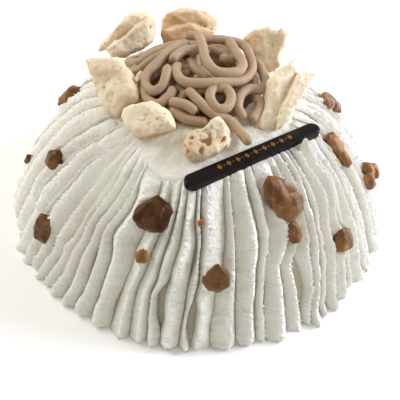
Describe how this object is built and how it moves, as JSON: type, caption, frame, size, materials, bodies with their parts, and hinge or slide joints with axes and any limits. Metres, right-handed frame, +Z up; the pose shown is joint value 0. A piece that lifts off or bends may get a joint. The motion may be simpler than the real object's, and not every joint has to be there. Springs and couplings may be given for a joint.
{
  "type": "chestnut cream cake",
  "caption": "Domed cake piped with ribbons of whipped cream, topped with a nest of chestnut noodles, broken meringues, candied chestnut lumps and a chocolate stick.",
  "frame": {"origin": "middle of the dome's flat underside, on the surface the cake stands on", "axes": "+Z up through the cake, +X to the right and -Y to the front of the cake, the side with the chocolate stick"},
  "size_m": [0.2535, 0.2414, 0.1108],
  "materials": {
    "cream": "soft whipped cream, faint sheen",
    "paste": "matt chestnut paste",
    "meringue": "dry baked meringue",
    "chestnut": "glossy sugar syrup",
    "chocolate": "tempered dark chocolate, glossy"
  },
  "bodies": {
    "root": {"chestnut_back_left": "chestnut", "chestnut_back_right": "chestnut", "chestnut_crumb": "chestnut", "chestnut_front": "chestnut", "chestnut_front_bit": "chestnut", "chestnut_front_low": "chestnut", "chestnut_left": "chestnut", "chestnut_left_edge": "chestnut", "chestnut_left_low": "chestnut", "chestnut_right": "chestnut", "chestnut_right_bit": "chestnut", "chestnut_right_edge": "chestnut", "chestnut_right_high": "chestnut", "chestnut_right_low": "chestnut", "chocolate_stick": "chocolate", "cream_dome": "cream", "meringue_back": "meringue", "meringue_back_left": "meringue", "meringue_back_right": "meringue", "meringue_front": "meringue", "meringue_front_left": "meringue", "meringue_left": "meringue", "meringue_right": "meringue", "noodle_nest": "paste"}
  },
  "joints": []
}
